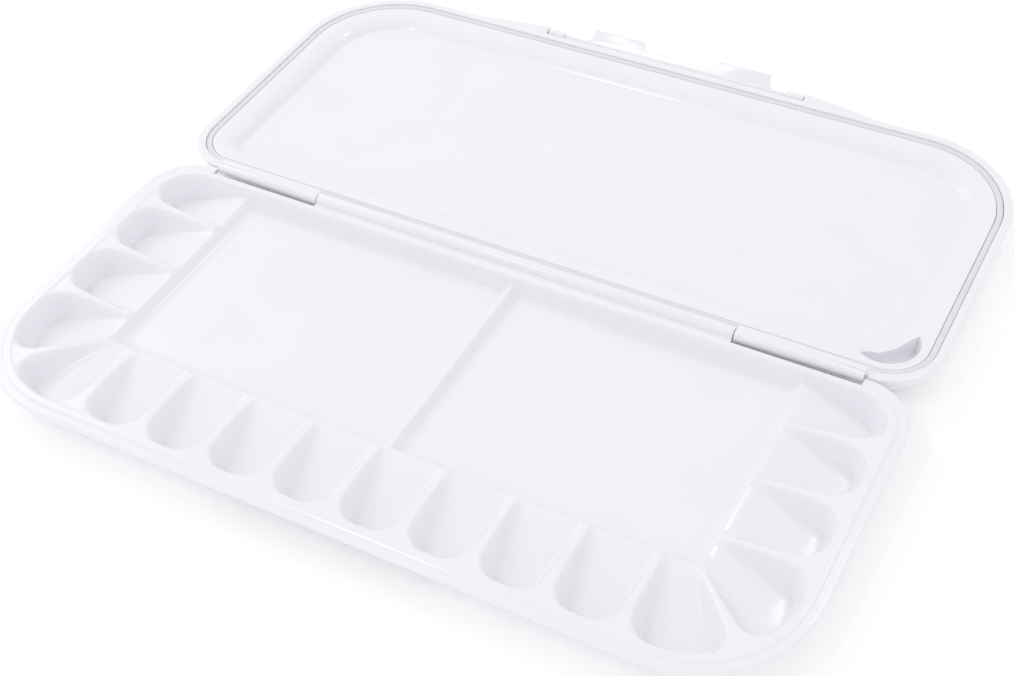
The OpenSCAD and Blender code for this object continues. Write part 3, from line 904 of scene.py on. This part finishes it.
def make_clasp():
    """Bent clasp with two tabs, its knuckles, and the heel that stops it."""
    y, z = HINGE_Y + PIVOT_V, RIM_Z + PIVOT_Z
    pivot_point = np.array([y, z])
    arm = BEND / np.linalg.norm(BEND)
    out = (TAB_TIP - BEND) / np.linalg.norm(TAB_TIP - BEND)
    turn = math.acos(float(arm @ out))
    tangent = BEND_R * math.tan(turn / 2)
    arm_len = np.linalg.norm(BEND) - tangent
    arm_half = CLASP_HALF - CLASP_KNUCKLE_W
    tab_end = TAB_X + TAB_W
    # The arm, which narrows towards the bend
    middle = pivot_point + arm * arm_len / 2
    bpy.ops.object.select_all(action="DESELECT")
    bpy.ops.mesh.primitive_cube_add(
        size=1, location=(0, middle[0] * MM, middle[1] * MM),
        rotation=(math.atan2(arm[1], arm[0]), 0, 0),
        scale=(2 * arm_half * MM, arm_len * MM, CLASP_T * MM))
    piece = named("clasp_plate")
    lower = (tab_end + CLASP_FLARE) / arm_half
    select(piece, "vertices", lambda p: (np.array(p)[1:] - pivot_point) @ arm > arm_len / 2)
    bpy.ops.transform.resize(value=(lower, 1, 1), center_override=(0, 0, 0))
    bpy.ops.object.mode_set(mode="OBJECT")
    # The bend, and the bar beyond it
    side = np.array([-arm[1], arm[0]])
    centre = pivot_point + arm * arm_len + side * BEND_R
    select(piece, "polygons", lambda c, n: n.y * arm[0] + n.z * arm[1] > 0.99)
    bpy.ops.mesh.spin(steps=8, angle=-turn, center=(0, centre[0] * MM, centre[1] * MM),
                      axis=(1, 0, 0))
    bar_len = np.linalg.norm(BAR_TIP - BEND) - tangent
    bpy.ops.mesh.extrude_region_move(
        TRANSFORM_OT_translate={"value": (0, out[0] * bar_len * MM, out[1] * bar_len * MM)})
    bpy.ops.transform.resize(value=(tab_end / (tab_end + CLASP_FLARE), 1, 1),
                             center_override=(0, 0, 0))
    bpy.ops.mesh.select_all(action="SELECT")
    bpy.ops.mesh.remove_doubles(threshold=1e-6)
    bpy.ops.mesh.select_all(action="DESELECT")
    bpy.ops.mesh.select_interior_faces()
    bpy.ops.mesh.delete(type="ONLY_FACE")
    recalculate()
    # The two tabs
    for x in (-tab_end + 0.01, -TAB_X, TAB_X, tab_end - 0.01):
        bpy.ops.object.mode_set(mode="EDIT")
        bpy.ops.mesh.select_all(action="SELECT")
        bpy.ops.mesh.bisect(plane_co=(x * MM, 0, 0), plane_no=(1, 0, 0))
        bpy.ops.object.mode_set(mode="OBJECT")
    tab_len = np.linalg.norm(TAB_TIP - BAR_TIP)
    select(piece, "polygons", lambda c, n: n.y * out[0] + n.z * out[1] > 0.99
           and TAB_X < abs(c.x) < tab_end - 0.02
           and (np.array(c)[1:] - pivot_point) @ out > BAR_TIP @ out - 0.1)
    bpy.ops.mesh.extrude_region_move(
        TRANSFORM_OT_translate={"value": (0, out[0] * tab_len * MM, out[1] * tab_len * MM)})
    recalculate()
    round_edges(piece, 0.35)
    # Knuckles, the rod between them, and the heel
    for end in (-1, 1):
        cut(piece, bar("knuckle", end * (arm_half - 1), end * CLASP_HALF, y, z, 2.0, 0.3),
            "UNION")
    cut(piece, bar("rod", -arm_half, arm_half, y, z, 0.95), "UNION")
    bpy.ops.object.select_all(action="DESELECT")
    bpy.ops.mesh.primitive_cube_add(
        size=1, location=(0, (y - 1.35) * MM, (z - 0.8) * MM),
        rotation=(math.atan2(1.6, 2.7), 0, 0),
        scale=((2 * arm_half - 1) * MM, 3.1 * MM, CLASP_T * MM))
    heel = named("heel")
    round_edges(heel, 0.4)
    cut(piece, heel, "UNION")
    for end in (-1, 1):
        cut(piece, bar("bore", end * (CLASP_HALF - 5), end * (CLASP_HALF + 1), y, z, 0.86,
                       sides=24))
    smooth(piece)
    return piece


# ---------------------------------------------------------------- materials


def shader(name):
    """A new material with its nodes, links and main shader."""
    material = bpy.data.materials.new(name)
    material.use_nodes = True
    nodes, links = material.node_tree.nodes, material.node_tree.links
    return material, nodes, links, nodes["Principled BSDF"]


def noise(nodes, links, source, scale, detail=3.0, roughness=0.5):
    """Noise on the piece's own coordinates."""
    texture = nodes.new("ShaderNodeTexNoise")
    texture.inputs["Scale"].default_value = scale
    texture.inputs["Detail"].default_value = detail
    texture.inputs["Roughness"].default_value = roughness
    links.new(source, texture.inputs["Vector"])
    return texture.outputs["Fac"]


def ramp(nodes, links, factor, low, high, start=0.3, end=0.7):
    """Two colours spread over part of a factor."""
    node = nodes.new("ShaderNodeValToRGB")
    node.color_ramp.elements[0].position = start
    node.color_ramp.elements[0].color = (*low, 1)
    node.color_ramp.elements[1].position = end
    node.color_ramp.elements[1].color = (*high, 1)
    links.new(factor, node.inputs["Fac"])
    return node.outputs["Color"]


def level(nodes, links, factor, low, high):
    """A factor spread between two values."""
    node = nodes.new("ShaderNodeMapRange")
    node.inputs["To Min"].default_value = low
    node.inputs["To Max"].default_value = high
    links.new(factor, node.inputs["Value"])
    return node.outputs["Result"]


def bump(nodes, links, height, strength, distance):
    """Fine relief from a height."""
    node = nodes.new("ShaderNodeBump")
    node.inputs["Strength"].default_value = strength
    node.inputs["Distance"].default_value = distance
    links.new(height, node.inputs["Height"])
    return node.outputs["Normal"]


def white_plastic():
    """Glossy moulded plastic: cool white, faintly mottled, with the mould's soft ripple."""
    material, nodes, links, main = shader("white_moulded_plastic")
    place = nodes.new("ShaderNodeTexCoord").outputs["Object"]
    mottle = noise(nodes, links, place, 38, 4)
    links.new(ramp(nodes, links, mottle, (0.905, 0.91, 0.955), (0.922, 0.926, 0.965)),
              main.inputs["Base Color"])
    haze = noise(nodes, links, place, 160, 5, 0.6)
    links.new(level(nodes, links, haze, 0.13, 0.2), main.inputs["Roughness"])
    ripple = noise(nodes, links, place, 55, 1)
    links.new(bump(nodes, links, ripple, 0.12, 0.0004), main.inputs["Normal"])
    main.inputs["IOR"].default_value = 1.5
    main.inputs["Specular IOR Level"].default_value = 0.5
    return material


def silicone():
    """Matt pale silicone with a fine grain."""
    material, nodes, links, main = shader("pale_silicone")
    place = nodes.new("ShaderNodeTexCoord").outputs["Object"]
    cloud = noise(nodes, links, place, 60, 3)
    links.new(ramp(nodes, links, cloud, (0.78, 0.785, 0.83), (0.81, 0.815, 0.855)),
              main.inputs["Base Color"])
    grain = noise(nodes, links, place, 2200, 2)
    links.new(level(nodes, links, grain, 0.5, 0.65), main.inputs["Roughness"])
    links.new(bump(nodes, links, grain, 0.15, 0.00005), main.inputs["Normal"])
    return material


def steel():
    """Drawn steel rod, its fine lines running along the pin."""
    material, nodes, links, main = shader("drawn_steel")
    place = nodes.new("ShaderNodeTexCoord").outputs["Object"]
    stretch = nodes.new("ShaderNodeMapping")
    stretch.inputs["Scale"].default_value = (40, 2500, 2500)
    links.new(place, stretch.inputs["Vector"])
    lines = noise(nodes, links, stretch.outputs["Vector"], 1.0, 4)
    links.new(ramp(nodes, links, lines, (0.44, 0.45, 0.47), (0.62, 0.63, 0.65)),
              main.inputs["Base Color"])
    links.new(level(nodes, links, lines, 0.25, 0.4), main.inputs["Roughness"])
    links.new(bump(nodes, links, lines, 0.2, 0.00002), main.inputs["Normal"])
    main.inputs["Metallic"].default_value = 1.0
    return material


def table_top():
    """Plain pale floor, lit a little from within so that it reads as white."""
    material, nodes, links, main = shader("pale_floor")
    place = nodes.new("ShaderNodeTexCoord").outputs["Object"]
    soft = noise(nodes, links, place, 3, 2)
    links.new(ramp(nodes, links, soft, (0.965, 0.965, 0.965), (0.975, 0.975, 0.975)),
              main.inputs["Base Color"])
    main.inputs["Roughness"].default_value = 0.8
    main.inputs["Specular IOR Level"].default_value = 0.1
    main.inputs["Emission Color"].default_value = (1, 1, 1, 1)
    main.inputs["Emission Strength"].default_value = 0.11
    return material


def coat(piece, material):
    """Gives a piece one material."""
    piece.data.materials.clear()
    piece.data.materials.append(material)


# ---------------------------------------------------------------- camera, light and floor


# Azimuth, elevation and roll in degrees, and the point on the rims that it looks at
CAMERA_ANGLES = (30.804, 44.355, -3.615)
CAMERA_AIM_X = 16.62
CAMERA_AIM_V = 38.08
CAMERA_AWAY = 607.8
CAMERA_LENS = 57.81


def make_camera():
    """Camera over the tray's front left, looking at a slant across the hinge."""
    azimuth, elevation, roll = (math.radians(a) for a in CAMERA_ANGLES)
    target = Vector((CAMERA_AIM_X, HINGE_Y - CAMERA_AIM_V, RIM_Z))
    back = Vector((math.sin(azimuth) * math.cos(elevation),
                   -math.cos(azimuth) * math.cos(elevation), math.sin(elevation)))
    level_right = (-back).cross(Vector((0, 0, 1))).normalized()
    level_up = level_right.cross(-back)
    right = math.cos(roll) * level_right + math.sin(roll) * level_up
    up = math.cos(roll) * level_up - math.sin(roll) * level_right
    data = bpy.data.cameras.new("camera")
    data.sensor_width = 36.0
    data.lens = CAMERA_LENS
    camera = bpy.data.objects.new("camera", data)
    bpy.context.collection.objects.link(camera)
    turn = Matrix((right, up, back)).transposed().to_4x4()
    camera.matrix_world = Matrix.Translation((target + back * CAMERA_AWAY) * MM) @ turn
    bpy.context.scene.camera = camera


def area_light(name, place, size, power):
    """A soft rectangular light that looks at the middle of the palette."""
    data = bpy.data.lights.new(name, "AREA")
    data.shape = "RECTANGLE"
    data.size, data.size_y = size
    data.energy = power
    lamp = bpy.data.objects.new(name, data)
    bpy.context.collection.objects.link(lamp)
    lamp.location = place
    lamp.rotation_euler = Vector(place).to_track_quat("Z", "Y").to_euler()


def make_studio():
    """Pale floor, an even white surround and three soft lights."""
    bpy.ops.object.select_all(action="DESELECT")
    bpy.ops.mesh.primitive_plane_add(size=6, location=(0, 0, 0))
    floor = bpy.context.view_layer.objects.active
    floor.name = "floor"
    coat(floor, table_top())
    world = bpy.data.worlds.new("studio")
    world.use_nodes = True
    surround = world.node_tree.nodes["Background"]
    surround.inputs["Color"].default_value = (1, 1, 1, 1)
    surround.inputs["Strength"].default_value = 0.87
    bpy.context.scene.world = world
    area_light("key", (-1.2, 0.3, 0.9), (0.9, 0.6), 2.2)
    area_light("back", (0.18, 0.64, 1.05), (0.13, 0.13), 0.36)
    area_light("top", (-0.48, -0.5, 1.1), (0.16, 0.16), 0.7)
    bpy.context.scene.view_settings.view_transform = "Standard"


# ---------------------------------------------------------------- assembly

make_camera()
make_studio()

plastic, rubber, metal = white_plastic(), silicone(), steel()

tray = make_tray()
coat(tray, plastic)
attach(tray, "tray")
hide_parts("tray")

lid = make_lid()
coat(lid, plastic)
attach(lid, "lid")
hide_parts("lid")

gasket = make_gasket()
coat(gasket, rubber)
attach(gasket, "lid")
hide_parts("gasket")

clasp = make_clasp()
coat(clasp, plastic)
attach(clasp, "clasp")
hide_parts("clasp")

for name in ("hinge_pin_left", "hinge_pin_right", "clasp_pin_left", "clasp_pin_right"):
    coat(frame["nodes"][name], metal)
